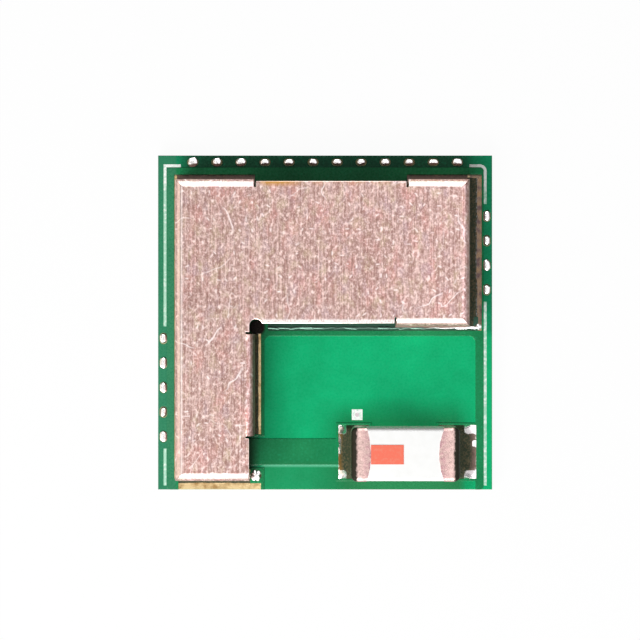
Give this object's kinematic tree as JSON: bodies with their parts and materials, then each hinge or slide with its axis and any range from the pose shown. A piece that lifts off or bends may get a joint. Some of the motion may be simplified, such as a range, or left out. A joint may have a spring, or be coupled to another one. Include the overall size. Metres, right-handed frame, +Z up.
{
  "type": "wireless radio module",
  "caption": "Square surface-mount radio module: thin green circuit board with an L-shaped folded metal shield can, a ceramic chip antenna and soldered contacts along its edges.",
  "frame": {"origin": "middle of the board, on the plane of the host pads' undersides", "axes": "+Z up from the host board, +Y towards the edge with the long contact row, +X towards the antenna's far end"},
  "size_m": [0.01, 0.01, 0.0018],
  "materials": {
    "laminate": "sawn glass-fibre board",
    "plated_copper": "gold flash on copper",
    "solder_mask": "green glossy lacquer",
    "white_ink": "printed ink",
    "solder": "reflowed, bright",
    "nickel_silver": "rolled sheet with fine grain and scratches",
    "white_ceramic": "fired white ceramic",
    "terminal_silver": "rough plated silver",
    "red_ink": "printed ink",
    "silicon": "ground silicon",
    "crystal_ceramic": "fired dark ceramic",
    "lid_metal": "plated lid",
    "capacitor_body": "fired tan ceramic",
    "inductor_body": "fired grey ceramic"
  },
  "bodies": {
    "root": {"laminate": "laminate", "top_copper": "plated_copper", "host_pads_back": "plated_copper", "host_pads_left": "plated_copper", "host_pads_right": "plated_copper", "plated_vias_back": "plated_copper", "plated_vias_left": "plated_copper", "plated_vias_right": "plated_copper", "top_solder_mask": "solder_mask", "bottom_solder_mask": "solder_mask", "silkscreen": "white_ink", "via_solder_back": "solder", "via_solder_left": "solder", "via_solder_right": "solder", "shield_solder": "solder", "antenna_feed_solder": "solder", "antenna_end_solder": "solder", "radio_chip_balls": "solder", "component_solder": "solder", "shield_can": "nickel_silver", "antenna_ceramic": "white_ceramic", "antenna_feed_terminal": "terminal_silver", "antenna_end_terminal": "terminal_silver", "antenna_mark": "red_ink", "radio_chip": "silicon", "main_crystal_base": "crystal_ceramic", "sleep_crystal_base": "crystal_ceramic", "main_crystal_lid": "lid_metal", "sleep_crystal_lid": "lid_metal", "capacitor_1": "capacitor_body", "capacitor_2": "capacitor_body", "capacitor_3": "capacitor_body", "capacitor_4": "capacitor_body", "capacitor_5": "capacitor_body", "capacitor_6": "capacitor_body", "capacitor_7": "capacitor_body", "capacitor_8": "capacitor_body", "inductor_1": "inductor_body", "inductor_2": "inductor_body", "inductor_3": "inductor_body"}
  },
  "joints": []
}
